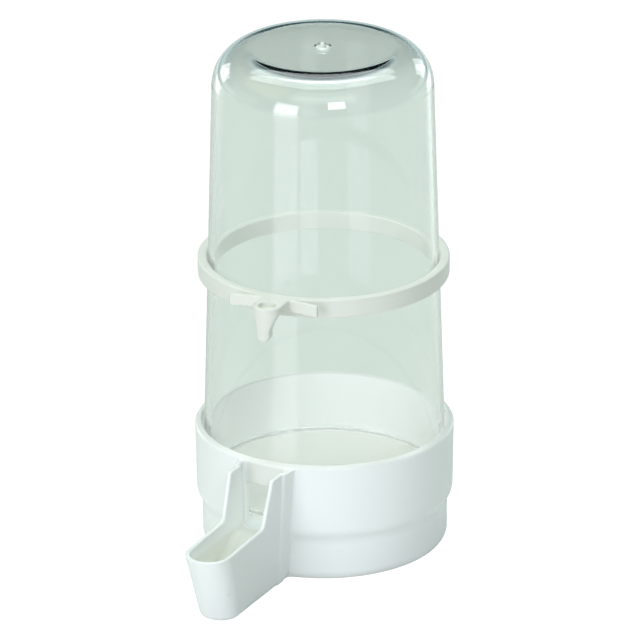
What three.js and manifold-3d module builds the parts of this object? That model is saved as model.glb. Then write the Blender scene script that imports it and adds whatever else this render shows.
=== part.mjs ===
// Bird water fountain: a clear reservoir stands upside down in a white drinking base,
// and a white ring round it carries the hook that hangs it on a cage.
// Millimetres, +Z up. The origin is the middle of the base's underside, on the cup's axis.
// The drinking spout points along -Y, and "reach" is a distance from the axis along -Y.
import * as THREE from 'three';
import { mergeVertices } from 'three/addons/utils/BufferGeometryUtils.js';
import Module from 'manifold-3d';

const wasm = await Module();
wasm.setup();

// Drinking base: the cup and its collar.
const collarRadius = 37.5;
const collarWall = 1.9;
const collarDraft = 0.32;
const baseHeight = 36.7;
const ledgeHeight = 18.3;
const ledgeWidth = 1.8;
const stepBelowLedge = 2.5;
const stepHeight = 3.2;
const cupWall = 1.75;
const floorThickness = 2;
const footRound = 3.2;
const floorRound = 4;
const rimDrop = 0.9;

// Drinking base: the spout.
const spoutLength = 41;
const lipWidth = 13.9;
const lipRise = 3.05;
const lipFall = 1.1;
const spoutWall = 1.3;
const sideDraft = 0.035;
const frontSlope = 0.375;
const keelRound = 2.4;
const noseRound = 0.8;
const wallDrop = 0.9;
const wallShelf = 8.9;
const wallRun = 5;
const wallCornerRound = 0.9;
const rootJog = 1;
const rootFlare = 0.62;
const rootLength = 3.6;
const rootRound = 0.7;
const bridgeHeight = 7.7;
const jambWidth = 0.2;
const channelDepth = 1.7;
const channelLength = 6;
const basinDepth = 10.25;
const basinSlope = 14;

// Reservoir.
const collarGap = 0.28;
const seatGap = 0.3;
const reservoirHeight = 132.6;
const reservoirWall = 1.8;
const taperDegrees = 1.65;
const shoulderRadius = 11.6;
const topThickness = 2.5;
const gateRadius = 1.2;
const gateTipRadius = 0.4;
const gateHeight = 1.1;

// Hanging ring and its hook.
const ringSeat = 63.6;
const ringHeight = 5.4;
const ringWall = 2.5;
const ringGap = 0.3;
const ringEdge = 0.4;
const ringTurnDegrees = 5.1;
const armHalfWidth = 4.45;
const armThickness = 2.6;
const lobeRadius = 4.05;
const pocketReach = 6.1;
const pocketRadius = 2.35;
const pocketDepth = 1.4;
const tongueWidth = 3.8;
const tongueThickness = 3.6;
const tongueDrop = 10;
const tongueFlare = 4.4;
const tongueInset = 0.3;
const wingSpan = 27;
const wingHeight = 3.5;
const wingThickness = 1.4;
const wingGap = 0.8;
const wingSweep = 2;

// How finely round shapes are divided, and how far a cutting tool passes the face that it opens.
const roundSides = 60;
const arcSteps = 6;
const lipSteps = 14;
const overcut = 2;
const mergeDistance = 1e-4;

// Sizes that follow from the ones above.
const collarInside = collarRadius - collarWall;
const cupInside = collarInside - ledgeWidth;
const cupRadius = cupInside + cupWall;
const stepTop = ledgeHeight - stepBelowLedge;
const lipHeight = ledgeHeight + lipRise;
const spoutReach = collarRadius + spoutLength;
const wallTop = baseHeight - wallDrop;
const channelFloor = ledgeHeight - channelDepth;
const basinFloor = lipHeight - basinDepth;
const windowTop = baseHeight - bridgeHeight;
const spoutBack = cupInside - floorRound;
const cutReach = spoutReachAt(wallTop + overcut) + overcut;
const cutWidth = 2 * lipWidth;
const taper = THREE.MathUtils.degToRad(taperDegrees);
const reservoirRimRadius = collarInside - collarGap;
const reservoirRimHeight = ledgeHeight + seatGap;
const ringInside = reservoirRadiusAt(ringSeat) + ringGap;
const ringRadius = ringInside + ringWall;
const pocketAxis = ringRadius + pocketReach;

// Outside radius of the reservoir at a height above its rim.
function reservoirRadiusAt(height) {
  return reservoirRimRadius - height * Math.tan(taper);
}

// Points on an arc from one angle to another, in degrees, both ends included.
function arc(centreX, centreY, radius, fromDegrees, toDegrees, steps = arcSteps) {
  const points = [];
  for (let step = 0; step <= steps; step += 1) {
    const angle = THREE.MathUtils.degToRad(fromDegrees + ((toDegrees - fromDegrees) * step) / steps);
    points.push([centreX + radius * Math.cos(angle), centreY + radius * Math.sin(angle)]);
  }
  return points;
}

// A solid for joining and cutting, from a closed geometry.
function solidOf(geometry) {
  geometry.deleteAttribute('normal');
  geometry.deleteAttribute('uv');
  const merged = mergeVertices(geometry, mergeDistance);
  const corners = merged.index.array;
  const triangles = [];
  for (let first = 0; first < corners.length; first += 3) {
    const [a, b, c] = corners.slice(first, first + 3);
    if (a !== b && b !== c && c !== a) {
      triangles.push(a, b, c);
    }
  }
  const vertProperties = new Float32Array(merged.attributes.position.array);
  const triVerts = new Uint32Array(triangles);
  return new wasm.Manifold(new wasm.Mesh({ numProp: 3, vertProperties, triVerts }));
}

// A named mesh from a finished solid.
function meshOf(name, solid, material) {
  const { vertProperties, triVerts } = solid.getMesh();
  const geometry = new THREE.BufferGeometry();
  geometry.setAttribute('position', new THREE.BufferAttribute(new Float32Array(vertProperties), 3));
  geometry.setIndex(new THREE.BufferAttribute(new Uint32Array(triVerts), 1));
  geometry.computeVertexNormals();
  const mesh = new THREE.Mesh(geometry, material);
  mesh.name = name;
  return mesh;
}

// A round solid about Z. The profile of [radius, height] points runs anticlockwise.
function turned(profile) {
  const points = profile.map(([radius, height]) => new THREE.Vector2(radius, height));
  const geometry = new THREE.LatheGeometry(points, roundSides);
  geometry.rotateX(Math.PI / 2);
  return solidOf(geometry);
}

// A plan outline drawn in X and Y, standing between two heights.
function standing(outline, bottom, top) {
  const geometry = new THREE.ExtrudeGeometry(outline, { depth: top - bottom, bevelEnabled: false });
  geometry.translate(0, 0, bottom);
  return solidOf(geometry);
}

// A side outline drawn in reach and height, spread evenly to both sides of the plane X = 0.
function spread(outline, width) {
  const geometry = new THREE.ExtrudeGeometry(outline, { depth: width, bevelEnabled: false });
  geometry.translate(0, 0, -width / 2);
  const outward = new THREE.Vector3(0, -1, 0);
  const upward = new THREE.Vector3(0, 0, 1);
  const sideways = new THREE.Vector3(-1, 0, 0);
  geometry.applyMatrix4(new THREE.Matrix4().makeBasis(outward, upward, sideways));
  return solidOf(geometry);
}

// A closed solid through level outlines, bottom first, that all have as many corners.
function lofted(levels) {
  const count = levels[0].outline.length;
  const positions = [];
  for (const { height, outline } of levels) {
    for (const [x, y] of outline) {
      positions.push(x, y, height);
    }
  }
  const index = [];
  for (let corner = 0; corner < count; corner += 1) {
    const next = (corner + 1) % count;
    for (let level = 0; level < levels.length - 1; level += 1) {
      const low = level * count;
      const high = low + count;
      index.push(low + corner, low + next, high + next);
      index.push(low + corner, high + next, high + corner);
    }
  }
  const last = (levels.length - 1) * count;
  for (let corner = 1; corner < count - 1; corner += 1) {
    index.push(0, corner + 1, corner);
    index.push(last, last + corner, last + corner + 1);
  }
  const geometry = new THREE.BufferGeometry();
  geometry.setAttribute('position', new THREE.Float32BufferAttribute(positions, 3));
  geometry.setIndex(index);
  return solidOf(geometry);
}

// A shape through a list of points.
function shapeOf(points) {
  return new THREE.Shape(points.map(([x, y]) => new THREE.Vector2(x, y)));
}

// The cup with its collar, filled in.
function cupOutside() {
  return turned([
    [0, 0],
    ...arc(cupRadius - footRound, footRound, footRound, -90, 0),
    [cupRadius, stepTop - stepHeight],
    [collarRadius - collarDraft, stepTop],
    [collarRadius, baseHeight - rimDrop],
    [collarInside, baseHeight],
    [0, baseHeight],
  ]);
}

// The room inside the cup and the collar, with the ledge between them.
function cupRoom() {
  return turned([
    [0, floorThickness],
    ...arc(cupInside - floorRound, floorThickness + floorRound, floorRound, -90, 0),
    [cupInside, ledgeHeight],
    [collarInside, ledgeHeight],
    [collarInside, baseHeight + overcut],
    [0, baseHeight + overcut],
  ]);
}

// Half the spout's outside width at a height: the sides lean out towards the top.
function spoutHalfWidthAt(height) {
  return lipWidth / 2 + (height - lipHeight) * sideDraft;
}

// How far the spout's front reaches at a height: it leans in towards the bottom.
function spoutReachAt(height) {
  return spoutReach + (height - lipHeight) * frontSlope;
}

// How far a bottom edge of a given roundness is drawn in at a height.
function roundInset(radius, height) {
  const above = Math.max(radius - height, 0);
  return radius - Math.sqrt(radius ** 2 - above ** 2);
}

// Plan of the spout at a height, inside by a wall: straight sides and a half-round front.
function spoutOutline(height, wall) {
  const halfWidth = spoutHalfWidthAt(height) - roundInset(keelRound, height) - wall;
  const tip = spoutReachAt(height) - roundInset(noseRound, height) - wall;
  return [
    [-halfWidth, -spoutBack],
    ...arc(0, halfWidth - tip, halfWidth, 180, 360, lipSteps),
    [halfWidth, -spoutBack],
  ];
}

// Plan of the spout's root, inside by a wall: the sides jog out and flare towards the collar,
// at the top most and at the foot not at all.
function rootOutline(height, wall) {
  const rise = height / wallTop;
  const halfWidth = spoutHalfWidthAt(height) + rootJog * rise - roundInset(keelRound, height) - wall;
  const front = collarRadius + rootLength - rootRound - wall;
  const side = halfWidth - rootRound;
  const backWidth = halfWidth + (rootFlare * rise * (front - spoutBack)) / rootLength;
  return [
    [-backWidth, -spoutBack],
    ...arc(-side, -front, rootRound, 180, 270),
    ...arc(side, -front, rootRound, 270, 360),
    [backWidth, -spoutBack],
  ];
}

// A plan carried up the spout's height, with its bottom edges rounded off.
function keeled(outlineAt) {
  const roundTop = Math.max(keelRound, noseRound);
  const heights = arc(0, roundTop, roundTop, -90, 0).map(([, height]) => height);
  return lofted([...heights, wallTop].map((height) => ({ height, outline: outlineAt(height, 0) })));
}

// A plan carried straight up through the spout's open top, for cutting out its room.
function hollowed(outlineAt) {
  const heights = [basinFloor - overcut, wallTop + overcut];
  return lofted(heights.map((height) => ({ height, outline: outlineAt(height, spoutWall) })));
}

// What is cut away above the spout's side walls: a steep slope down from the shelf, then the lip,
// which falls a little towards the front.
function aboveWalls() {
  const shelfEnd = collarRadius + wallShelf;
  const corner = shelfEnd + wallRun;
  const cornerHeight = lipHeight + lipFall;
  const slope = wallRun / (wallTop - cornerHeight);
  const outline = new THREE.Shape();
  outline.moveTo(shelfEnd - overcut * slope, wallTop + overcut);
  outline.lineTo(corner - wallCornerRound * slope, cornerHeight + wallCornerRound);
  outline.quadraticCurveTo(corner, cornerHeight, corner + wallCornerRound, cornerHeight);
  outline.lineTo(spoutReach, lipHeight);
  outline.lineTo(cutReach, lipHeight);
  outline.lineTo(cutReach, wallTop + overcut);
  return spread(outline, cutWidth);
}

// The room in the spout: a shallow channel at the collar that slopes down into the basin.
function troughRoom() {
  const top = wallTop + 2 * overcut;
  const slopeStart = collarRadius + channelLength;
  const slopeEnd = slopeStart + basinSlope;
  const slopeMiddle = (slopeStart + slopeEnd) / 2;
  const outline = new THREE.Shape();
  outline.moveTo(0, channelFloor);
  outline.lineTo(slopeStart, channelFloor);
  outline.bezierCurveTo(slopeMiddle, channelFloor, slopeMiddle, basinFloor, slopeEnd, basinFloor);
  outline.lineTo(cutReach, basinFloor);
  outline.lineTo(cutReach, top);
  outline.lineTo(0, top);
  const room = hollowed(spoutOutline).add(hollowed(rootOutline));
  return room.intersect(spread(outline, cutWidth));
}

// The window through the collar wall, under the band that is left along the rim.
function windowBlock() {
  const halfWidth = spoutHalfWidthAt(channelFloor) + rootJog - spoutWall - jambWidth;
  const outline = shapeOf([
    [-halfWidth, -collarRadius - overcut],
    [halfWidth, -collarRadius - overcut],
    [halfWidth, -spoutBack],
    [-halfWidth, -spoutBack],
  ]);
  return standing(outline, 0, windowTop);
}

// The base: cup, collar and spout in one moulding.
function drinkingBase() {
  const collarColumn = turned([
    [0, 0],
    [collarRadius, 0],
    [collarRadius, baseHeight + overcut],
    [0, baseHeight + overcut],
  ]);
  const walls = keeled(spoutOutline).subtract(aboveWalls());
  const trough = troughRoom();
  return cupOutside()
    .add(walls)
    .add(keeled(rootOutline))
    .subtract(cupRoom())
    .subtract(trough.subtract(collarColumn))
    .subtract(trough.intersect(windowBlock()));
}

// The reservoir, with its rim at height 0: tapered wall, round shoulder, flat top and the stub of its gate.
function reservoirSolid() {
  const shoulderHeight = reservoirHeight - shoulderRadius;
  const shoulderOutside = reservoirRadiusAt(shoulderHeight);
  const shoulderInside = shoulderOutside - reservoirWall / Math.cos(taper);
  const outerCentre = shoulderOutside - shoulderRadius / Math.cos(taper);
  const innerRound = shoulderRadius - topThickness;
  const innerCentre = shoulderInside - innerRound / Math.cos(taper);
  const innerRim = reservoirRimRadius - reservoirWall / Math.cos(taper);
  return turned([
    [0, reservoirHeight - topThickness],
    ...arc(innerCentre, shoulderHeight, innerRound, 90, taperDegrees),
    [innerRim, 0],
    [reservoirRimRadius, 0],
    ...arc(outerCentre, shoulderHeight, shoulderRadius, taperDegrees, 90),
    [gateRadius, reservoirHeight],
    [gateTipRadius, reservoirHeight + gateHeight],
    [0, reservoirHeight + gateHeight],
  ]);
}

// The band, with its underside at height 0 and its bore tapered like the reservoir.
function ringBand() {
  const topInside = ringInside - ringHeight * Math.tan(taper);
  const profile = [
    [ringInside, 0],
    [ringRadius - ringEdge, 0],
    [ringRadius, ringEdge],
    [ringRadius, ringHeight - ringEdge],
    [ringRadius - ringEdge, ringHeight],
    [topInside, ringHeight],
  ];
  return turned([...profile, profile[0]]);
}

// The level arm: it leaves the band at its full width and ends in a round lobe.
function hookArm() {
  const root = ringRadius - ringWall / 2;
  const outline = shapeOf([
    [-armHalfWidth, -root],
    ...arc(0, -pocketAxis, lobeRadius, 180, 360, lipSteps),
    [armHalfWidth, -root],
  ]);
  return standing(outline, ringHeight - armThickness, ringHeight);
}

// The round pocket in the top of the lobe.
function hookPocket() {
  const outline = shapeOf(arc(0, -pocketAxis, pocketRadius, 0, 360, 2 * lipSteps).slice(1));
  return standing(outline, ringHeight - pocketDepth, ringHeight + overcut);
}

// The tongue under the lobe: flared where it leaves the arm, half round at its lower end.
function hookTongue() {
  const halfWidth = tongueWidth / 2;
  const top = ringHeight - armThickness / 2;
  const flareTop = ringHeight - armThickness;
  const flareEnd = flareTop - tongueFlare;
  const endCentre = ringHeight - tongueDrop + halfWidth;
  const rootHalfWidth = lobeRadius - tongueInset;
  const flareWaist = halfWidth + (rootHalfWidth - halfWidth) / 3;
  const flareMiddle = (flareTop + flareEnd) / 2;
  const outline = new THREE.Shape();
  outline.moveTo(-rootHalfWidth, top);
  outline.lineTo(-rootHalfWidth, flareTop);
  outline.quadraticCurveTo(-flareWaist, flareMiddle, -halfWidth, flareEnd);
  outline.lineTo(-halfWidth, endCentre);
  outline.absarc(0, endCentre, halfWidth, Math.PI, 2 * Math.PI, false);
  outline.lineTo(halfWidth, flareEnd);
  outline.quadraticCurveTo(flareWaist, flareMiddle, rootHalfWidth, flareTop);
  outline.lineTo(rootHalfWidth, top);
  const geometry = new THREE.ExtrudeGeometry(outline, { depth: tongueThickness, bevelEnabled: false });
  geometry.rotateX(Math.PI / 2);
  geometry.translate(0, tongueThickness - pocketAxis - lobeRadius, 0);
  return solidOf(geometry);
}

// The two spring wings: bars that leave the band beside the arm and reach forward to their ends.
function hookWings() {
  const back = ringRadius + wingGap;
  const front = back + wingThickness;
  const end = wingSpan / 2;
  const outline = shapeOf([
    [-end, -front],
    [0, wingSweep - front],
    [end, -front],
    [end, -back],
    [0, wingSweep - back],
    [-end, -back],
  ]);
  return standing(outline, ringHeight - wingHeight, ringHeight);
}

// The ring: band, arm, tongue and wings in one moulding.
function hangingRing() {
  return ringBand()
    .add(hookArm())
    .add(hookTongue())
    .add(hookWings())
    .subtract(hookPocket());
}

const whitePlastic = new THREE.MeshStandardMaterial({ color: 0xf2f7f4, roughness: 0.32, metalness: 0 });
const ringPlastic = new THREE.MeshStandardMaterial({ color: 0xf0f5ee, roughness: 0.4, metalness: 0 });
const clearPlastic = new THREE.MeshStandardMaterial({
  color: 0xdcebe5,
  roughness: 0.06,
  metalness: 0,
  transparent: true,
  opacity: 0.35,
});

const ringGroup = new THREE.Group();
ringGroup.position.z = ringSeat;
ringGroup.rotation.z = THREE.MathUtils.degToRad(ringTurnDegrees);
ringGroup.add(meshOf('hanging_ring', hangingRing(), ringPlastic));

const reservoirGroup = new THREE.Group();
reservoirGroup.position.z = reservoirRimHeight;
reservoirGroup.add(meshOf('reservoir', reservoirSolid(), clearPlastic));
reservoirGroup.add(ringGroup);

const fountain = new THREE.Group();
fountain.add(meshOf('drinking_base', drinkingBase(), whitePlastic));
fountain.add(reservoirGroup);

export default fountain;
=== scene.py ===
"""Bird water fountain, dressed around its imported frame.

A clear reservoir stands upside down in a white drinking base, and a white ring round it carries
the hook that hangs it on a cage. Sizes are in millimetres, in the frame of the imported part, and
meshes are made in metres. The spout points along -Y, and "reach" is a distance along -Y.
"""

import logging
import math
from collections.abc import Callable, Sequence
from dataclasses import dataclass
from enum import Enum

import bpy
import numpy as np
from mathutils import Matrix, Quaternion, Vector


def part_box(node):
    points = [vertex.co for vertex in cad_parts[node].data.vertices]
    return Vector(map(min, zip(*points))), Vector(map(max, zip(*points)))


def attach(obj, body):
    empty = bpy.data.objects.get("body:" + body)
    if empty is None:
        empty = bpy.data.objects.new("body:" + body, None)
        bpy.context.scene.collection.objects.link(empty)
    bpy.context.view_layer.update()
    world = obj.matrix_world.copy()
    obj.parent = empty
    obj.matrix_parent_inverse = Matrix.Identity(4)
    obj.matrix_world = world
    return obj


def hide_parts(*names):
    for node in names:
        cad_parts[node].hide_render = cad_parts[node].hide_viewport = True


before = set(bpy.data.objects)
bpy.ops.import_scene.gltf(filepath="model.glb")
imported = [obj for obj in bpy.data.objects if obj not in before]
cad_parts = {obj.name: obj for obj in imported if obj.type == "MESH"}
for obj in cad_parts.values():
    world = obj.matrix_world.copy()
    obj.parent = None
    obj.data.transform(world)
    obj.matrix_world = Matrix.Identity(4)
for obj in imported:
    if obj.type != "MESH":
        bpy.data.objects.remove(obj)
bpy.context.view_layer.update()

LOG = logging.getLogger("fountain")
MILLIMETRES = 1000.0
HALF_TURN = 180.0
ALL_ROUND = 4 * HALF_TURN
CELL_CORNERS = 8
NOISE_MIDDLE = 0.5
MIX_FIRST, MIX_SECOND, MIX_RESULT = 6, 7, 2

Colour = tuple[float, float, float]
WHITE: Colour = (1.0, 1.0, 1.0)


class Slot(Enum):
    """The record's material slots."""

    BASE = "base_plastic"
    CLEAR = "clear_plastic"
    RING = "ring_plastic"


class Mixing(Enum):
    """Ways to put one colour over another."""

    BETWEEN = "MIX"
    ADDED = "ADD"


@dataclass(frozen=True)
class Form:
    """Signed distance in millimetres from many points to a solid, negative inside it."""

    distance: np.ndarray

    def __neg__(self) -> "Form":
        """Everything that the solid leaves free."""
        return Form(-self.distance)

    def join(self, other: "Form", fillet: float | np.ndarray) -> "Form":
        """Makes two solids one.

        Args:
            other: The solid to add.
            fillet: Radius of the fillet in the corner between them.

        Returns:
            The joined solid.
        """
        here = np.maximum(fillet - self.distance, 0)
        there = np.maximum(fillet - other.distance, 0)
        nearest = np.minimum(self.distance, other.distance)
        return Form(np.maximum(fillet, nearest) - np.hypot(here, there))

    def meet(self, other: "Form", edge: float | np.ndarray) -> "Form":
        """Keeps what two solids share, with a rounded edge between them."""
        return -(-self).join(-other, edge)

    def cut(self, other: "Form", edge: float | np.ndarray) -> "Form":
        """Takes a solid away, with a rounded edge round the cut."""
        return self.meet(-other, edge)


def under(values: np.ndarray, level: float | np.ndarray) -> Form:
    """The side where values stay under a level."""
    return Form(values - level)


def over(values: np.ndarray, level: float | np.ndarray) -> Form:
    """The side where values stay over a level."""
    return Form(level - values)


def smooth_step(values: np.ndarray) -> np.ndarray:
    """A smooth rise from 0 to 1 as values go from 0 to 1."""
    held = np.clip(values, 0, 1)
    return held * held * (3 - 2 * held)


@dataclass(frozen=True)
class Places:
    """Where many points lie, seen from the middle of a spout or a hook.

    Across is the distance to either side of its middle, reach the distance along it from the
    upright axis, height the height over its moulding's underside, and radius the distance from
    the upright axis.
    """

    across: np.ndarray
    reach: np.ndarray
    height: np.ndarray
    radius: np.ndarray


def mesh_object(
    name: str, points: np.ndarray, faces: Sequence, normals: np.ndarray
) -> bpy.types.Object:
    """Makes a smooth mesh object.

    Args:
        name: Name of the piece.
        points: Corners, in millimetres.
        faces: Corner numbers of each face.
        normals: The surface's own direction at each corner.

    Returns:
        The object, linked to the scene.
    """
    mesh = bpy.data.meshes.new(name)
    mesh.from_pydata(points / MILLIMETRES, [], faces)
    mesh.shade_smooth()
    mesh.normals_split_custom_set_from_vertices(normals)
    made = bpy.data.objects.new(name, mesh)
    bpy.context.scene.collection.objects.link(made)
    return made


@dataclass(frozen=True)
class Skin:
    """Lays a mesh of small quads over a solid that is given by its signed distance."""

    shape: Callable[[np.ndarray, np.ndarray, np.ndarray], Form]
    low: Sequence[float]
    high: Sequence[float]
    pitch: float
    settle_rounds: int = 4
    slope_step: float = 0.02
    least_steepness: float = 0.25

    def lay(self, name: str) -> bpy.types.Object:
        """Makes the mesh object.

        Args:
            name: Name of the piece.

        Returns:
            The object, linked to the scene.
        """
        step = self.pitch
        bounds = zip(self.low, self.high)
        axes = [np.arange(low - step, high + 2 * step, step) for low, high in bounds]
        grid = np.meshgrid(*axes, indexing="ij", sparse=True)
        counts = [len(axis) for axis in axes]
        distance = np.array(np.broadcast_to(self.shape(*grid).distance, counts))
        cells, quads = self._net(distance)
        points = np.array([axis[0] for axis in axes]) + cells * step
        for _ in range(self.settle_rounds):
            points = self._settled(points)
        slope = self._slope(points)
        normals = slope / np.linalg.norm(slope, axis=1, keepdims=True)
        return mesh_object(name, points, quads, normals)

    def _net(self, distance: np.ndarray) -> tuple[np.ndarray, np.ndarray]:
        """Finds the cells that the surface passes and joins them into quads.

        Args:
            distance: Signed distance at each point of a regular grid.

        Returns:
            A point in each such cell, in grid steps, and the quads between the points.
        """
        inside = distance < 0
        held = np.zeros([count - 1 for count in inside.shape], np.int8)
        for corner in np.ndindex(2, 2, 2):
            held += inside[tuple(slice(c, c + n) for c, n in zip(corner, held.shape))]
        cells = np.argwhere((held > 0) & (held < CELL_CORNERS))
        number = np.full(held.shape, -1, np.int64)
        number[tuple(cells.T)] = np.arange(len(cells))
        total = np.zeros((len(cells), 3))
        hits = np.zeros((len(cells), 1))
        quads = []
        for axis in range(3):
            along, side, other = np.roll(np.eye(3, dtype=int), -axis, axis=0)
            for one, two in np.ndindex(2, 2):
                start = cells + one * side + two * other
                near = distance[tuple(start.T)]
                far = distance[tuple((start + along).T)]
                crossed = (near < 0) != (far < 0)
                share = near[crossed] / (near[crossed] - far[crossed])
                total[crossed] += start[crossed] + share[:, None] * along
                hits[crossed] += 1
            edges = np.argwhere(np.diff(inside, axis=axis))
            corners = [edges - side - other, edges - other, edges, edges - side]
            loop = np.stack([number[tuple(corner.T)] for corner in corners], axis=1)
            outward = inside[tuple(edges.T)]
            quads += [loop[outward], loop[~outward][:, ::-1]]
        return total / hits, np.concatenate(quads)

    def _at(self, points: np.ndarray) -> np.ndarray:
        """Signed distance at a list of points."""
        return self.shape(*points.T).distance

    def _slope(self, points: np.ndarray) -> np.ndarray:
        """Finds the direction in which the signed distance grows.

        Args:
            points: A list of points.

        Returns:
            The direction at each point.
        """
        steps = self.slope_step * np.eye(3)
        rises = [self._at(points + step) - self._at(points - step) for step in steps]
        return np.stack(rises, axis=1) / (2 * self.slope_step)

    def _settled(self, points: np.ndarray) -> np.ndarray:
        """Moves points onto the surface, by half a grid step at most along each axis.

        Args:
            points: Points near the surface.

        Returns:
            The moved points.
        """
        slope = self._slope(points)
        steepness = np.maximum((slope**2).sum(axis=1), self.least_steepness)
        move = (self._at(points) / steepness)[:, None] * slope
        return points - np.clip(move, -self.pitch / 2, self.pitch / 2)


@dataclass(frozen=True)
class Corner:
    """A corner of a turned profile, rounded to a radius."""

    radius: float
    height: float
    round: float = 0.0


@dataclass(frozen=True)
class Turning:
    """A solid turned about Z from a profile that starts and ends on the axis."""

    corners: Sequence[Corner]
    sides: int = 360
    arc_degrees: float = 1.5

    def profile(self) -> tuple[np.ndarray, np.ndarray]:
        """Works out the rounded profile.

        Returns:
            Its points and its outward directions, as rows of radius and height.
        """
        spots = [np.array([corner.radius, corner.height]) for corner in self.corners]
        points = [spots[0]]
        normals = [np.array([0.0, np.sign(spots[0][1] - spots[-1][1])])]
        for before, spot, after, corner in zip(spots, spots[1:], spots[2:], self.corners[1:]):
            into = (spot - before) / np.linalg.norm(spot - before)
            away = (after - spot) / np.linalg.norm(after - spot)
            turn = math.atan2(into[0] * away[1] - into[1] * away[0], into @ away)
            back = abs(math.tan(turn / 2)) * corner.round
            out = np.array([into[1], -into[0]])
            centre = spot - back * into - np.sign(turn) * corner.round * out
            count = max(2, math.ceil(abs(math.degrees(turn)) / self.arc_degrees))
            for angle in np.linspace(0, turn, count + 1):
                cos, sin = math.cos(angle), math.sin(angle)
                normal = np.array([cos * out[0] - sin * out[1], sin * out[0] + cos * out[1]])
                points.append(centre + np.sign(turn) * corner.round * normal)
                normals.append(normal)
        points.append(spots[-1])
        normals.append(np.array([0.0, np.sign(spots[-1][1] - spots[0][1])]))
        return np.array(points), np.array(normals)

    def spun(self, rows: np.ndarray) -> np.ndarray:
        """Carries a profile's rows round the axis.

        Args:
            rows: Rows of radius and height.

        Returns:
            Each row but the first and last as a ring, then those two on the axis.
        """
        turns = np.linspace(0, 2 * math.pi, self.sides, endpoint=False)
        round_about = np.stack([np.cos(turns), np.sin(turns), np.ones_like(turns)], axis=1)
        middle = [row[[0, 0, 1]] * round_about for row in rows[1:-1]]
        ends = [[0.0, 0.0, rows[0][1]], [0.0, 0.0, rows[-1][1]]]
        return np.concatenate([*middle, ends])

    def make(self, name: str) -> bpy.types.Object:
        """Makes the mesh object.

        Args:
            name: Name of the piece.

        Returns:
            The object, linked to the scene.
        """
        points, normals = self.profile()
        rings = np.arange((len(points) - 2) * self.sides).reshape(-1, self.sides)
        onward = np.roll(rings, -1, axis=1)
        walls = np.stack([rings[:-1], onward[:-1], onward[1:], rings[1:]], axis=-1)
        first, last = rings.size, rings.size + 1
        start = [[first, after, before] for before, after in zip(rings[0], onward[0])]
        finish = [[last, before, after] for before, after in zip(rings[-1], onward[-1])]
        faces = [*walls.reshape(-1, 4).tolist(), *start, *finish]
        return mesh_object(name, self.spun(points), faces, self.spun(normals))


class Wire:
    """A node's output, so that shader maths reads as arithmetic."""

    def __init__(self, graph: "Graph", socket: bpy.types.NodeSocket) -> None:
        """Keeps the output and the graph that it belongs to."""
        self.graph = graph
        self.socket = socket

    def _math(self, operation: str, *values: "Wire | float") -> "Wire":
        """A Math node on some values."""
        return self.graph.node("ShaderNodeMath", {"operation": operation}, dict(enumerate(values)))

    def beside(self, output: str) -> "Wire":
        """Another output of the same node."""
        return Wire(self.graph, self.socket.node.outputs[output])

    def then(self, operation: str, *others: "Wire | float") -> "Wire":
        """A Math node that starts from this value."""
        return self._math(operation, self, *others)

    def fade(self, half: float, edge: float) -> "Wire":
        """Falls smoothly from 1 to 0 where this value passes a half-width.

        Args:
            half: The half-width.
            edge: How wide the fall is.

        Returns:
            The faded value.
        """
        span = {"From Min": half - edge / 2, "From Max": half + edge / 2}
        inputs = {"Value": self, **span, "To Min": 1.0, "To Max": 0.0}
        return self.graph.node("ShaderNodeMapRange", {"interpolation_type": "SMOOTHSTEP"}, inputs)

    def __add__(self, other: "Wire | float") -> "Wire":
        """This value plus another."""
        return self._math("ADD", self, other)

    __radd__ = __add__

    def __sub__(self, other: "Wire | float") -> "Wire":
        """This value less another."""
        return self._math("SUBTRACT", self, other)

    def __rsub__(self, other: float) -> "Wire":
        """A number less this value."""
        return self._math("SUBTRACT", other, self)

    def __mul__(self, other: "Wire | float") -> "Wire":
        """This value times another."""
        return self._math("MULTIPLY", self, other)

    __rmul__ = __mul__


def from_axis(x: Wire, y: Wire) -> Wire:
    """Distance from the upright axis."""
    return (x * x + y * y).then("SQRT")


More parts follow.
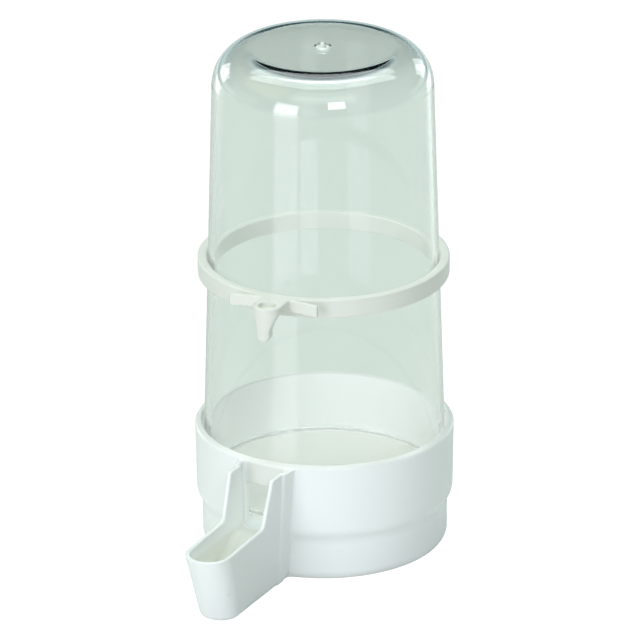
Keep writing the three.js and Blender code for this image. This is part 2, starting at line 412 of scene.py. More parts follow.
class Graph:
    """The node graph of a material or a world."""

    def __init__(self, owner: bpy.types.Material | bpy.types.World) -> None:
        """Turns the owner's nodes on and empties them.

        Args:
            owner: The material or the world.
        """
        owner.use_nodes = True
        self.tree = owner.node_tree
        self.tree.nodes.clear()

    def node(
        self,
        kind: str,
        settings: dict | None = None,
        inputs: dict | None = None,
        output: int | str = 0,
    ) -> Wire:
        """Adds a node.

        Args:
            kind: Blender's name for the node's type.
            settings: The node's own settings.
            inputs: A value or a wire for each named or numbered input.
            output: Name or number of the output to hand back.

        Returns:
            That output.
        """
        made = self.tree.nodes.new(kind)
        for name, value in (settings or {}).items():
            setattr(made, name, value)
        for name, value in (inputs or {}).items():
            if isinstance(value, Wire):
                self.tree.links.new(value.socket, made.inputs[name])
            else:
                made.inputs[name].default_value = value
        return Wire(self, made.outputs[output] if made.outputs else None)

    def axes(self, output: str) -> list[Wire]:
        """Takes a texture coordinate apart.

        Args:
            output: Which coordinate.

        Returns:
            Its X, Y and Z.
        """
        coordinate = self.node("ShaderNodeTexCoord", output=output)
        parts = self.node("ShaderNodeSeparateXYZ", inputs={0: coordinate})
        return [parts.beside(axis) for axis in "XYZ"]

    def place(self) -> list[Wire]:
        """The place on the object along X, Y and Z, in millimetres."""
        return [axis * MILLIMETRES for axis in self.axes("Object")]

    def noise(self, size: float, detail: float, stretch: Sequence[float] = (1, 1, 1)) -> Wire:
        """A cloudy value from 0 to 1 over the object.

        Args:
            size: Size of the clouds, in millimetres.
            detail: How many finer layers are added.
            stretch: How much longer the clouds are along each axis.

        Returns:
            The value.
        """
        place = self.node("ShaderNodeTexCoord", output="Object")
        scale = [MILLIMETRES / size / length for length in stretch]
        spread = self.node("ShaderNodeMapping", inputs={"Vector": place, "Scale": scale})
        clouds = {"Vector": spread, "Scale": 1.0, "Detail": detail}
        return self.node("ShaderNodeTexNoise", inputs=clouds)

    def bump(self, height: Wire, depth: float, strength: float) -> Wire:
        """Surface directions that follow a relief.

        Args:
            height: The relief, from 0 to 1.
            depth: How deep it is, in millimetres.
            strength: How strongly it shows.

        Returns:
            The directions.
        """
        relief = {"Strength": strength, "Distance": depth / MILLIMETRES, "Height": height}
        return self.node("ShaderNodeBump", inputs=relief)

    def blend(
        self,
        share: Wire,
        first: Sequence[float] | Wire,
        second: Sequence[float] | Wire,
        mixing: Mixing = Mixing.BETWEEN,
    ) -> Wire:
        """Puts a second colour over a first one.

        Args:
            share: How much of the second colour there is, from 0 to 1.
            first: A colour or a wire.
            second: A colour or a wire.
            mixing: How the two are put together.

        Returns:
            The mixed colour.
        """
        settings = {"data_type": "RGBA", "blend_type": mixing.value}
        colours = {"Factor": share, MIX_FIRST: first, MIX_SECOND: second}
        return self.node("ShaderNodeMix", settings, colours, output=MIX_RESULT)


def rgba(colour: Colour) -> tuple[float, ...]:
    """A colour with full opacity."""
    return (*colour, 1.0)


@dataclass(frozen=True)
class PaintedShading:
    """A room of the moulding whose walls get painted light or shade, a colour that stands in for
    how light falls there.

    A turned room is round about the upright axis, and the first half-width is its radius.
    """

    middle: tuple[float, float, float]
    half: tuple[float, float, float]
    colour: Colour
    turned: bool = False
    edge: float = 1.2

    def share(self, graph: Graph) -> Wire:
        """How much of the painted light or shade each point has.

        Args:
            graph: The material's graph.

        Returns:
            1 in the room and 0 outside it.
        """
        x, y, z = (place - middle for place, middle in zip(graph.place(), self.middle))
        along, across, up = self.half
        level = z.then("ABSOLUTE").fade(up, self.edge)
        if self.turned:
            return from_axis(x, y).fade(along, self.edge) * level
        sides = x.then("ABSOLUTE").fade(along, self.edge)
        return sides * y.then("ABSOLUTE").fade(across, self.edge) * level


@dataclass(frozen=True)
class WhitePlastic:
    """Glossy white moulded plastic: faint flow clouds, a soft skin texture, fine scuffs and
    painted light or shade in places.
    """

    name: str
    colour: Colour
    cloud_colour: Colour
    roughness: float
    painted_shading: tuple[PaintedShading, ...] = ()
    index: float = 1.5
    cloud_size: float = 22.0
    cloud_detail: float = 3.0
    cloud_stretch: Sequence[float] = (1, 1, 1.8)
    skin_size: float = 1.6
    skin_detail: float = 3.0
    skin_depth: float = 0.004
    skin_strength: float = 0.5
    scuff_size: float = 5.0
    scuff_detail: float = 6.0
    scuff_stretch: Sequence[float] = (1, 1, 0.35)
    scuff_share: float = 0.1

    def make(self) -> bpy.types.Material:
        """Makes the material.

        Returns:
            The material.
        """
        material = bpy.data.materials.new(self.name)
        graph = Graph(material)
        clouds = graph.noise(self.cloud_size, self.cloud_detail, self.cloud_stretch)
        skin = graph.noise(self.skin_size, self.skin_detail)
        scuffs = graph.noise(self.scuff_size, self.scuff_detail, self.scuff_stretch)
        colour = graph.blend(clouds, rgba(self.colour), rgba(self.cloud_colour))
        # Painted light and shade: each place's colour is made lighter or darker to stand in for
        # how light falls there.
        for shading in self.painted_shading:
            colour = graph.blend(shading.share(graph), colour, rgba(shading.colour))
        surface = {
            "Base Color": colour,
            "Roughness": self.roughness + self.scuff_share * (scuffs - NOISE_MIDDLE),
            "Normal": graph.bump(skin, self.skin_depth, self.skin_strength),
            "IOR": self.index,
        }
        shader = graph.node("ShaderNodeBsdfPrincipled", inputs=surface)
        graph.node("ShaderNodeOutputMaterial", inputs={"Surface": shader})
        return material


@dataclass(frozen=True)
class ClearPlastic:
    """Clear moulded plastic: soft waves, a little haze, a white blush at the gate and painted
    light at the rim.
    """

    name: str
    colour: Colour
    cloud_colour: Colour
    rim_height: float
    index: float = 1.5
    roughness: float = 0.012
    haze_detail: float = 4.0
    haze_share: float = 0.02
    wave_size: float = 30.0
    wave_detail: float = 1.0
    wave_stretch: Sequence[float] = (1, 1, 3)
    wave_depth: float = 0.02
    wave_strength: float = 0.4
    blush_and_rim_light_colour: Colour = (0.95, 0.97, 0.96)
    blush_roughness: float = 0.4
    gate_radius: float = 1.9
    gate_edge: float = 1.8
    gate_share: float = 0.75
    painted_rim_light_edge: float = 0.8
    painted_rim_light_share: float = 0.3

    def make(self) -> bpy.types.Material:
        """Makes the material.

        Returns:
            The material.
        """
        material = bpy.data.materials.new(self.name)
        graph = Graph(material)
        waves = graph.noise(self.wave_size, self.wave_detail, self.wave_stretch)
        haze = graph.noise(self.wave_size, self.haze_detail)
        surface = {
            "Base Color": graph.blend(haze, rgba(self.colour), rgba(self.cloud_colour)),
            "Roughness": self.roughness + self.haze_share * haze,
            "Normal": graph.bump(waves, self.wave_depth, self.wave_strength),
            "IOR": self.index,
            "Transmission Weight": 1.0,
        }
        clear = graph.node("ShaderNodeBsdfPrincipled", inputs=surface)
        white = {"Base Color": rgba(self.blush_and_rim_light_colour), "Roughness": self.blush_roughness}
        frosted = graph.node("ShaderNodeBsdfPrincipled", inputs=white)
        x, y, z = graph.place()
        gate = from_axis(x, y).fade(self.gate_radius, self.gate_edge) * self.gate_share
        # Painted light: white frosting at the rim lightens its dark refracted edge; the white at
        # the gate is the moulding's own blush.
        rim = (z - self.rim_height).fade(self.painted_rim_light_edge, self.painted_rim_light_edge) * self.painted_rim_light_share
        gate_blush_and_rim_light = gate.then("MAXIMUM", rim)
        shader = graph.node("ShaderNodeMixShader", inputs={0: gate_blush_and_rim_light, 1: clear, 2: frosted})
        graph.node("ShaderNodeOutputMaterial", inputs={"Surface": shader})
        return material


def dress(piece: bpy.types.Object, material: bpy.types.Material, node: str) -> None:
    """Gives a piece its finish and ties it to the frame.

    Args:
        piece: The piece.
        material: Its finish.
        node: The frame's node, and body of the same name, that it stands for.
    """
    piece.data.materials.append(material)
    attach(piece, node)
    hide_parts(node)
    LOG.info("%s: %d faces in %s", piece.name, len(piece.data.polygons), material.name)


@dataclass
class DrinkingBase:
    """Cup, collar and drinking spout in one white moulding."""

    collar_radius: float
    base_height: float
    spout_reach: float
    collar_wall: float = 1.9
    collar_draft: float = 0.32
    ledge_height: float = 18.3
    ledge_width: float = 1.8
    step_top: float = 15.8
    step_height: float = 3.2
    cup_wall: float = 1.75
    floor_thickness: float = 2.0
    foot_round: float = 3.2
    floor_round: float = 4.0
    rim_drop: float = 0.9
    rim_round: float = 0.4
    lip_width: float = 13.9
    lip_height: float = 21.35
    lip_fall: float = 1.1
    lip_run_limit: float = 2.0
    spout_wall: float = 1.3
    side_draft: float = 0.035
    front_slope: float = 0.375
    keel_round: float = 2.4
    nose_round: float = 1.4
    wall_top: float = 35.5
    wall_shelf: float = 8.9
    wall_run: float = 5.0
    wall_edge_round: float = 0.6
    wall_corner_round: float = 0.9
    root_jog: float = 1.0
    root_flare: float = 0.62
    root_length: float = 3.6
    root_round: float = 0.7
    window_top: float = 29.0
    jamb_width: float = 0.2
    channel_floor: float = 16.6
    channel_length: float = 6.0
    basin_floor: float = 11.1
    basin_slope: float = 14.0
    basin_round: float = 1.6
    edge_round: float = 0.45
    corner_fillet: float = 0.5
    pitch: float = 0.36
    colour: Colour = (0.94, 0.96, 0.955)
    cloud_colour: Colour = (0.925, 0.945, 0.94)
    roughness: float = 0.24
    # Painted shade: the inside of the cup is painted darker and beige.
    cup_painted_shade: Colour = (0.91, 0.915, 0.88)
    cup_painted_shade_half: float = 9.0
    # Painted light: the inside of the collar is painted whiter, for the light that reaches it
    # through the reservoir.
    collar_painted_light: Colour = (0.98, 0.98, 0.97)
    collar_painted_light_height: float = 28.7
    collar_painted_light_half: float = 10.0
    # Painted shade: the top of the rim is painted darker, as it gets less light than the front.
    rim_painted_shade: Colour = (0.8, 0.81, 0.785)
    rim_painted_shade_radius: float = 40.0
    rim_painted_shade_half: float = 0.8
    rim_painted_shade_edge: float = 0.5
    # Painted shade: the trough's floor and walls are painted darker and beige, as shade in a
    # hollow.
    trough_painted_shade: Colour = (0.83, 0.84, 0.785)
    trough_painted_shade_reach: float = 56.0
    trough_painted_shade_height: float = 13.5
    trough_painted_shade_half: tuple[float, float] = (15.0, 4.6)
    # Painted shade: the bridge over the window, between the spout's walls, is painted darker where
    # the walls shade it.
    bridge_painted_shade: Colour = (0.8, 0.82, 0.77)
    bridge_painted_shade_height: float = 32.0
    bridge_painted_shade_half: tuple[float, float] = (1.4, 3.6)
    painted_shade_overlap: float = 0.2
    node: str = "drinking_base"

    @classmethod
    def from_frame(cls) -> "DrinkingBase":
        """Takes the overall sizes from the frame."""
        low, high = (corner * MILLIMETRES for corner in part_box(cls.node))
        return cls(collar_radius=high.x, base_height=high.z, spout_reach=-low.y)

    @property
    def collar_inside(self) -> float:
        """Inside radius of the collar."""
        return self.collar_radius - self.collar_wall

    @property
    def cup_inside(self) -> float:
        """Inside radius of the cup under the ledge."""
        return self.collar_inside - self.ledge_width

    @property
    def cup_radius(self) -> float:
        """Outside radius of the cup."""
        return self.cup_inside + self.cup_wall

    @property
    def spout_back(self) -> float:
        """Reach where the spout starts, inside the cup's wall."""
        return self.cup_inside - self.floor_round

    def half_width(self, height: float | np.ndarray) -> float | np.ndarray:
        """Half of the spout's outside width at a height."""
        return self.lip_width / 2 + (height - self.lip_height) * self.side_draft

    def cup(self, at: Places) -> Form:
        """The cup with its collar, filled in and endless downwards.

        Args:
            at: Where the points lie.

        Returns:
            The filled cup.
        """
        step_foot = self.step_top - self.step_height
        step_width = self.collar_radius - self.collar_draft - self.cup_radius
        step_length = math.hypot(step_width, self.step_height)
        rise = (at.height - self.step_top) / (self.base_height - self.rim_drop - self.step_top)
        wall = self.collar_radius - self.collar_draft * (1 - rise)
        outward = (at.radius - self.cup_radius) * self.step_height
        slant = (outward - (at.height - step_foot) * step_width) / step_length
        rim_slope = self.rim_drop / self.collar_wall
        rim = at.height - self.base_height + (at.radius - self.collar_inside) * rim_slope
        rim_top = under(rim / math.hypot(1, rim_slope), 0.0)
        collar = under(at.radius, wall).meet(under(slant, 0.0), self.edge_round)
        collar = collar.meet(rim_top, self.rim_round)
        cup = under(at.radius, self.cup_radius)
        cup = cup.meet(under(at.height, self.ledge_height), self.edge_round)
        return cup.join(collar, self.corner_fillet)

    def cup_room(self, at: Places) -> Form:
        """The room inside the cup and the collar.

        Args:
            at: Where the points lie.

        Returns:
            The room, open at the top.
        """
        floor = over(at.height, self.floor_thickness)
        ledge = over(at.height, self.ledge_height)
        lower = under(at.radius, self.cup_inside).meet(floor, self.floor_round)
        upper = under(at.radius, self.collar_inside).meet(ledge, self.corner_fillet)
        return lower.join(upper, self.edge_round)

    def spout_plan(self, at: Places, wall: float) -> Form:
        """The spout seen from above: straight sides and a half-round front.

        Args:
            at: Where the points lie.
            wall: How far inside the outside face.

        Returns:
            The spout, endless in height.
        """
        rise = at.height - self.lip_height
        half = self.half_width(at.height) - wall
        front = self.spout_reach + rise * self.front_slope - wall - half
        beyond = np.maximum(at.reach - front, 0)
        return under(np.hypot(at.across, beyond), half)

    def root_plan(self, at: Places, wall: float) -> Form:
        """The spout's root seen from above: the sides jog out and flare towards the collar.

        Args:
            at: Where the points lie.
            wall: How far inside the outside face.

        Returns:
            The root, endless in height.
        """
        rise = at.height / self.wall_top
        front = self.collar_radius + self.root_length - wall
        behind = np.maximum(front - self.root_round - at.reach, 0)
        flare = self.root_flare * behind / self.root_length
        half = self.half_width(at.height) + (self.root_jog + flare) * rise - wall
        return under(at.across, half).meet(under(at.reach, front), self.root_round)

    def walls_under(self, at: Places) -> Form:
        """What lies under the top line of the spout's walls: shelf, slope and falling lip.

        Args:
            at: Where the points lie.

        Returns:
            The side under the line.
        """
        drop = self.wall_top - (self.lip_height + self.lip_fall)
        shelf_end = self.collar_radius + self.wall_shelf
        corner = shelf_end + self.wall_run
        back = (self.spout_reach - at.reach) / (self.spout_reach - corner)
        lip = self.lip_height + self.lip_fall * np.clip(back, 0, self.lip_run_limit)
        slope = (at.reach - shelf_end) * drop + (at.height - self.wall_top) * self.wall_run
        incline = under(slope / math.hypot(drop, self.wall_run), 0.0)
        high_wall = under(at.height, self.wall_top).meet(incline, self.wall_edge_round)
        return under(at.height, lip).join(high_wall, self.wall_corner_round)

    def trough(self, at: Places) -> Form:
        """The room in the spout and the window through the collar.

        Args:
            at: Where the points lie.

        Returns:
            The room, open at the top.
        """
        along = (at.reach - self.collar_radius - self.channel_length) / self.basin_slope
        fall = self.basin_floor - self.channel_floor
        floor = over(at.height, self.channel_floor + fall * smooth_step(along))
        room = self.spout_plan(at, self.spout_wall)
        room = room.join(self.root_plan(at, self.spout_wall), self.edge_round)
        room = room.meet(over(at.radius, self.collar_radius), self.edge_round)
        room = room.meet(over(at.reach, 0.0), self.edge_round)
        half = self.half_width(self.channel_floor) + self.root_jog
        half = half - self.spout_wall - self.jamb_width
        mouth = under(at.reach, self.collar_radius + self.spout_wall)
        window = under(at.across, half)
        window = window.meet(under(at.height, self.window_top), self.corner_fillet)
        window = window.meet(over(at.reach, self.spout_back), self.edge_round)
        window = window.meet(mouth, self.edge_round)
        return room.join(window, self.edge_round).meet(floor, self.basin_round)

    def solid(self, x: np.ndarray, y: np.ndarray, z: np.ndarray) -> Form:
        """The whole moulding.

        Args:
            x: Places along X.
            y: Places along Y.
            z: Places along Z.

        Returns:
            The moulding.
        """
        at = Places(across=np.abs(x), reach=-y, height=z, radius=np.hypot(x, y))
        front = self.spout_reach - self.lip_height * self.front_slope - self.lip_width / 2
        nose = smooth_step((at.reach - front) * 2 / self.lip_width)
        keel = self.keel_round + (self.nose_round - self.keel_round) * nose
        root = smooth_step((at.reach - self.cup_radius) / self.root_length)
        foot = self.foot_round + (keel - self.foot_round) * root
        spout = self.spout_plan(at, 0.0).join(self.root_plan(at, 0.0), self.corner_fillet)
        spout = spout.meet(self.walls_under(at), self.edge_round)
        spout = spout.meet(over(at.reach, self.spout_back), self.edge_round)
        whole = self.cup(at).join(spout, self.corner_fillet).meet(over(z, 0.0), foot)
        whole = whole.cut(self.cup_room(at), self.rim_round)
        return whole.cut(self.trough(at), self.edge_round)

    def painted_shading_places(self) -> tuple[PaintedShading, ...]:
        """Lists the places of the base with painted light or shade.

        Returns:
            Cup inside, collar inside, top of the rim, trough and the bridge over the window.
        """
        cup = (self.cup_inside + self.cup_radius) / 2
        collar = (self.collar_inside + self.collar_radius) / 2
        side = self.lip_width / 2 - self.spout_wall + self.painted_shade_overlap
        cup_middle = (0, 0, (self.floor_thickness + self.ledge_height) / 2)
        collar_middle = (0, 0, self.collar_painted_light_height)
        rim_middle = (0, 0, self.base_height)
        trough_middle = (0, -self.trough_painted_shade_reach, self.trough_painted_shade_height)
        bridge_middle = (0, -self.collar_radius, self.bridge_painted_shade_height)
        cup_half = (cup, cup, self.cup_painted_shade_half)
        collar_half = (collar, collar, self.collar_painted_light_half)
        rim_half = (self.rim_painted_shade_radius, self.rim_painted_shade_radius, self.rim_painted_shade_half)
        return (
            PaintedShading(cup_middle, cup_half, self.cup_painted_shade, turned=True),
            PaintedShading(collar_middle, collar_half, self.collar_painted_light, turned=True),
            PaintedShading(rim_middle, rim_half, self.rim_painted_shade, turned=True, edge=self.rim_painted_shade_edge),
            PaintedShading(trough_middle, (side, *self.trough_painted_shade_half), self.trough_painted_shade),
            PaintedShading(bridge_middle, (side, *self.bridge_painted_shade_half), self.bridge_painted_shade),
        )

    def build(self) -> bpy.types.Object:
        """Makes the base's mesh.

        Returns:
            The piece.
        """
        low = (-self.collar_radius, -self.spout_reach, 0.0)
        high = (self.collar_radius, self.collar_radius, self.base_height)
        return Skin(self.solid, low, high, self.pitch).lay("base_moulding")

    def dress(self, piece: bpy.types.Object) -> None:
        """Gives the base its white plastic, with painted light and shade in places.

        Args:
            piece: The base's mesh.
        """
        finish = WhitePlastic(
            "white_base_plastic", self.colour, self.cloud_colour, self.roughness, self.painted_shading_places()
        )
        dress(piece, finish.make(), self.node)


@dataclass
class Reservoir:
    """The clear bottle that stands upside down in the base."""

    rim_radius: float
    rim_height: float
    top_height: float
    wall: float = 1.8
    taper_degrees: float = 1.65
    shoulder_radius: float = 11.6
    top_thickness: float = 2.5
    rim_round: float = 0.3
    dimple_radius: float = 2.5
    dimple_depth: float = 0.25
    gate_radius: float = 1.2
    gate_tip_radius: float = 0.4
    gate_height: float = 1.1
    gate_round: float = 0.25
    colour: Colour = (0.972, 0.986, 0.979)
    haze_colour: Colour = (0.964, 0.981, 0.972)
    node: str = "reservoir"

    @classmethod
    def from_frame(cls) -> "Reservoir":
        """Takes the overall sizes from the frame."""
        low, high = (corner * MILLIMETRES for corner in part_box(cls.node))
        return cls(rim_radius=high.x, rim_height=low.z, top_height=high.z - cls.gate_height)

    def build(self) -> bpy.types.Object:
        """Makes the reservoir's mesh.

        Returns:
            The piece.
        """
        taper = math.tan(math.radians(self.taper_degrees))
        tall = self.top_height - self.rim_height
        thick = self.wall / math.cos(math.radians(self.taper_degrees))
        ceiling = self.top_height - self.top_thickness
        outer_corner = self.rim_radius - tall * taper
        inner_corner = self.rim_radius - thick - (tall - self.top_thickness) * taper
        dimple = self.top_height - self.dimple_depth
        tip = self.top_height + self.gate_height
        return Turning(
            [
                Corner(0.0, ceiling),
                Corner(inner_corner, ceiling, self.shoulder_radius - self.top_thickness),
                Corner(self.rim_radius - thick, self.rim_height, self.rim_round),
                Corner(self.rim_radius, self.rim_height, self.rim_round),
                Corner(outer_corner, self.top_height, self.shoulder_radius),
                Corner(self.dimple_radius, self.top_height, self.gate_round),
                Corner(self.dimple_radius - 2 * self.dimple_depth, dimple, self.gate_round),
                Corner(self.gate_radius, dimple, self.gate_round),
                Corner(self.gate_tip_radius, tip, self.gate_round),
                Corner(0.0, tip),
            ]
        ).make("reservoir_shell")

    def dress(self, piece: bpy.types.Object) -> None:
        """Gives the reservoir its clear plastic, which lets light through to the base.

        Args:
            piece: The reservoir's mesh.
        """
        finish = ClearPlastic(
            "clear_reservoir_plastic", self.colour, self.haze_colour, self.rim_height
        )
        dress(piece, finish.make(), self.node)
        piece.visible_shadow = False
        piece.visible_diffuse = False


@dataclass
class HangingRing:
    """The ring round the reservoir, with the hook and its two spring wings."""

    top_height: float
    height: float = 5.4
    inside: float = 33.788
    wall: float = 2.5
    taper_degrees: float = 1.65
    turn_degrees: float = 5.1
    arm_half_width: float = 4.45
    arm_thickness: float = 2.6
    lobe_radius: float = 4.05
    pocket_reach: float = 6.1
    pocket_radius: float = 2.35
    pocket_depth: float = 1.4
    tongue_width: float = 3.8
    tongue_thickness: float = 3.6
    tongue_drop: float = 10.0
    tongue_flare: float = 4.4
    tongue_curve: float = 1.4
    tongue_inset: float = 0.3
    wing_span: float = 27.0
    wing_height: float = 3.5
    wing_thickness: float = 1.4
    wing_gap: float = 0.8
    wing_sweep: float = 2.0
    edge_round: float = 0.4
    corner_fillet: float = 0.35
    pitch: float = 0.4
    colour: Colour = (0.815, 0.82, 0.765)
    cloud_colour: Colour = (0.795, 0.8, 0.745)
    roughness: float = 0.3
    node: str = "hanging_ring"

    @classmethod
    def from_frame(cls) -> "HangingRing":
        """Takes the ring's place from the frame."""
        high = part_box(cls.node)[1] * MILLIMETRES
        return cls(top_height=high.z)

    @property
    def radius(self) -> float:
        """Outside radius of the band."""
        return self.inside + self.wall

    @property
    def pocket_axis(self) -> float:
        """Reach of the middle of the round lobe."""
        return self.radius + self.pocket_reach

    @property
    def thin_edge(self) -> float:
        """Radius of the finer edges."""
        return self.edge_round / 2

    def lobe_plan(self, at: Places) -> Form:
        """The arm seen from above: it narrows a little and ends in a round lobe.

        Args:
            at: Where the points lie.

        Returns:
            The arm, endless in height.
        """
        share = np.clip((at.reach - self.radius) / self.pocket_reach, 0, 1)
        half = self.arm_half_width + (self.lobe_radius - self.arm_half_width) * share
        beyond = np.maximum(at.reach - self.pocket_axis, 0)
        plan = under(np.hypot(at.across, beyond), half)
        return plan.meet(over(at.reach, self.radius - self.wall / 2), self.edge_round)

    def pocket(self, at: Places) -> Form:
        """The shallow round pocket in the top of the lobe, open at the top."""
        plan = under(np.hypot(at.across, at.reach - self.pocket_axis), self.pocket_radius)
        return plan.meet(over(at.height, self.height - self.pocket_depth), self.edge_round)

    def tongue(self, at: Places) -> Form:
        """The tongue under the lobe, flared at the top and half round at its lower end.

        Args:
            at: Where the points lie.

        Returns:
            The tongue.
        """
        half = self.tongue_width / 2
        arm_under = self.height - self.arm_thickness
        share = np.clip((at.height - arm_under + self.tongue_flare) / self.tongue_flare, 0, 1)
        flare = (self.lobe_radius - self.tongue_inset - half) * share**self.tongue_curve
        below = np.maximum(self.height - self.tongue_drop + half - at.height, 0)
        back = self.pocket_axis + self.lobe_radius - self.tongue_thickness
        top = under(at.height, self.height - self.arm_thickness / 2)
        outline = under(np.hypot(at.across, below) - flare, half).meet(top, self.edge_round)
        plan = self.lobe_plan(at).meet(over(at.reach, back), self.edge_round)
        return outline.meet(plan, self.edge_round)

    def wings(self, at: Places) -> Form:
        """The two spring wings, which leave the band beside the arm and sweep forward.

        Args:
            at: Where the points lie.

        Returns:
            The wings.
        """
        end = self.wing_span / 2
        back = self.radius + self.wing_gap - self.wing_sweep * (1 - at.across / end)
        front = under(at.reach, back + self.wing_thickness)
        slab = over(at.reach, back).meet(front, self.thin_edge)
        bar = slab.meet(over(at.height, self.height - self.wing_height), self.thin_edge)
        return bar.meet(under(at.across, end), self.thin_edge)

    def solid(self, x: np.ndarray, y: np.ndarray, z: np.ndarray) -> Form:
        """The whole moulding.

        Args:
            x: Places along X.
            y: Places along Y.
            z: Places along Z.

        Returns:
            The moulding.
        """
        turn = math.radians(self.turn_degrees)
        taper = math.tan(math.radians(self.taper_degrees))
        at = Places(
            across=np.abs(x * math.cos(turn) + y * math.sin(turn)),
            reach=x * math.sin(turn) - y * math.cos(turn),
            height=z - self.top_height + self.height,
            radius=np.hypot(x, y),
        )
        arm_under = over(at.height, self.height - self.arm_thickness)
        arm = self.lobe_plan(at).meet(arm_under, self.edge_round)
        hook = arm.join(self.wings(at), self.corner_fillet)
        hook = hook.join(self.tongue(at), self.corner_fillet)
        band = under(at.radius, self.radius).meet(over(at.height, 0.0), self.edge_round)
        whole = band.join(hook, self.corner_fillet)
        whole = whole.meet(under(at.height, self.height), self.edge_round)
        whole = whole.cut(under(at.radius, self.inside - at.height * taper), self.edge_round)
        return whole.cut(self.pocket(at), self.thin_edge)

    def build(self) -> bpy.types.Object:
        """Makes the ring's mesh.

        Returns:
            The piece.
        """
        front = self.pocket_axis + self.lobe_radius
        low = (-self.radius, -front, self.top_height - self.tongue_drop)
        high = (self.radius, self.radius, self.top_height)
        return Skin(self.solid, low, high, self.pitch).lay("ring_moulding")

    def dress(self, piece: bpy.types.Object) -> None:
        """Gives the ring its white plastic."""
        finish = WhitePlastic("white_ring_plastic", self.colour, self.cloud_colour, self.roughness)
        dress(piece, finish.make(), self.node)


@dataclass(frozen=True)
class Panel:
    """A soft-edged panel of light in the studio, placed by the direction that it shines from.

    Its turn is in degrees to the right of the camera, and its sizes are in degrees too.
    """

    name: str
    turn: float
    elevation: float
    width: float
    height: float
    edge: float
    colour: Colour

    def share(self, turn: Wire, elevation: Wire) -> Wire:
        """How much of the panel a direction sees.

        Args:
            turn: The direction's degrees to the right of the camera.
            elevation: Its degrees over the horizon.

        Returns:
            1 on the panel and 0 beside it.
        """
        aside = (turn - self.turn).then("WRAP", HALF_TURN, -HALF_TURN).then("ABSOLUTE")
        above = (elevation - self.elevation).then("ABSOLUTE")
        return aside.fade(self.width / 2, self.edge) * above.fade(self.height / 2, self.edge)


def towards(azimuth: float, elevation: float) -> Vector:
    """A direction from the object.

    Args:
        azimuth: Degrees round from -Y towards +X.
        elevation: Degrees over the horizon.

    Returns:
        The unit vector.
    """
    around, up = math.radians(azimuth), math.radians(elevation)
    level = math.cos(up)
    return Vector((math.sin(around) * level, -math.cos(around) * level, math.sin(up)))


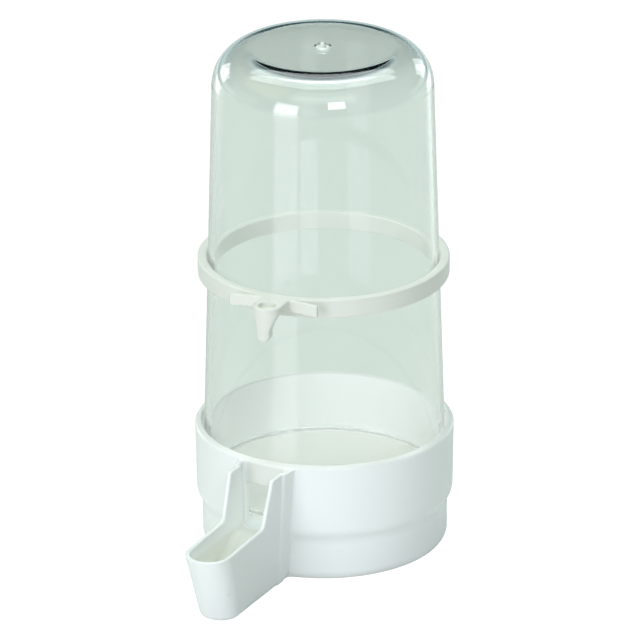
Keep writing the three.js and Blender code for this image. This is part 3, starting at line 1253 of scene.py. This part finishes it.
@dataclass(frozen=True)
class Studio:
    """Pale floor, soft light and the camera, with lengths in metres."""

    azimuth: float = 27.3
    elevation: float = 22.22
    distance: float = 2.5
    lens: float = 487.9
    sensor: float = 36.0
    clip_start: float = 0.05
    clip_end: float = 50.0
    roll_degrees: float = -0.287
    middle_height: float = 0.075
    slide_right: float = -0.0011
    slide_up: float = -0.00753
    floor_size: float = 12.0
    room_glow: Colour = (0.02, 0.045, 0.06)
    floor_colour: Colour = (0.71, 0.73, 0.7)
    floor_roughness: float = 0.07
    floor_gloss: float = 0.3
    floor_glow: float = 0.1
    backdrop: float = 1.1

    def panels(self) -> list[Panel]:
        """Lists the studio's lights.

        Returns:
            The panels.
        """
        return [
            Panel("left_window", -39, 14, 25, 28, 2, (5.4, 5.3, 6.0)),
            Panel("right_window", 15.5, 31, 19, 17, 2, (9.8, 10.0, 10.6)),
            Panel("front_high", 0, 54, 90, 26, 10, (1.4, 1.55, 1.35)),
            Panel("ceiling", 0, 90, ALL_ROUND, 30, 12, (0.35, 0.65, 0.45)),
            Panel("left_high", -90, 52, 70, 34, 14, (0.7, 0.7, 0.35)),
            Panel("left_low", -95, 10, 40, 26, 10, (0.25, 0.4, 0.3)),
            Panel("back_left", -140, 12, 16, 15, 2, (3.2, 3.2, 3.4)),
            Panel("back_right", 145, 13, 16, 16, 2, (2.3, 2.4, 2.5)),
            Panel("back_band", 180, 5, 150, 10, 6, (0.5, 0.62, 0.6)),
            Panel("back_lamp", 180, 62, 94, 38, 4, (3.5, 3.8, 3.75)),
        ]

    def before_paper(self, graph: Graph, shader: Wire, paper_kind: str) -> Wire:
        """Shows white paper to the camera, and a shader to all other rays.

        Args:
            graph: The graph of the floor or the world.
            shader: What the other rays see.
            paper_kind: Blender's name for the type of the node that lights the paper.

        Returns:
            The two, mixed.
        """
        seen = graph.node("ShaderNodeLightPath", output="Is Camera Ray")
        paper = graph.node(paper_kind, inputs={"Color": rgba(WHITE), "Strength": self.backdrop})
        return graph.node("ShaderNodeMixShader", inputs={0: seen, 1: shader, 2: paper})

    def light(self) -> None:
        """Sets up the lights, all far from the object."""
        world = bpy.data.worlds.new("studio_glow")
        bpy.context.scene.world = world
        graph = Graph(world)
        x, y, z = graph.axes("Generated")
        turn = x.then("ARCTAN2", -1.0 * y).then("DEGREES") - self.azimuth
        elevation = z.then("ARCSINE").then("DEGREES")
        glow = rgba(self.room_glow)
        for panel in self.panels():
            share = panel.share(turn, elevation)
            glow = graph.blend(share, glow, rgba(panel.colour), Mixing.ADDED)
            LOG.info("%s: light from %g degrees up", panel.name, panel.elevation)
        room = graph.node("ShaderNodeBackground", inputs={"Color": glow, "Strength": 1.0})
        mixed = self.before_paper(graph, room, "ShaderNodeBackground")
        graph.node("ShaderNodeOutputWorld", inputs={"Surface": mixed})

    def floor(self) -> None:
        """Lays the pale floor, which the camera sees as white paper."""
        half = self.floor_size / 2
        corners = [(-half, -half, 0), (half, -half, 0), (half, half, 0), (-half, half, 0)]
        mesh = bpy.data.meshes.new("floor")
        mesh.from_pydata(corners, [], [(0, 1, 2, 3)])
        floor = bpy.data.objects.new("floor", mesh)
        bpy.context.scene.collection.objects.link(floor)
        material = bpy.data.materials.new("pale_floor")
        graph = Graph(material)
        surface = {
            "Base Color": rgba(self.floor_colour),
            "Roughness": self.floor_roughness,
            "Specular IOR Level": self.floor_gloss,
            "Emission Color": rgba(self.floor_colour),
            "Emission Strength": self.floor_glow,
        }
        table = graph.node("ShaderNodeBsdfPrincipled", inputs=surface)
        mixed = self.before_paper(graph, table, "ShaderNodeEmission")
        graph.node("ShaderNodeOutputMaterial", inputs={"Surface": mixed})
        mesh.materials.append(material)

    def camera(self) -> None:
        """Places the camera at the photograph's viewing angle."""
        back = towards(self.azimuth, self.elevation)
        roll = Quaternion((0, 0, 1), math.radians(self.roll_degrees))
        turned = back.to_track_quat("Z", "Y") @ roll
        aim = Vector((0, 0, self.middle_height))
        slide = turned @ Vector((self.slide_right, self.slide_up, 0))
        data = bpy.data.cameras.new("camera")
        data.lens, data.sensor_width = self.lens, self.sensor
        data.clip_start, data.clip_end = self.clip_start, self.clip_end
        camera = bpy.data.objects.new("camera", data)
        camera.location = aim + slide + back * self.distance
        camera.rotation_euler = turned.to_euler()
        bpy.context.scene.collection.objects.link(camera)
        bpy.context.scene.camera = camera

    def build(self) -> None:
        """Sets up the whole studio."""
        self.light()
        self.floor()
        self.camera()
        bpy.context.scene.view_settings.view_transform = "Standard"


def main() -> None:
    """Builds and dresses the fountain, then the studio."""
    logging.basicConfig(level=logging.INFO, format="%(name)s: %(message)s")
    for assembly in (DrinkingBase.from_frame(), Reservoir.from_frame(), HangingRing.from_frame()):
        assembly.dress(assembly.build())
    Studio().build()


if __name__ == "__main__":
    main()
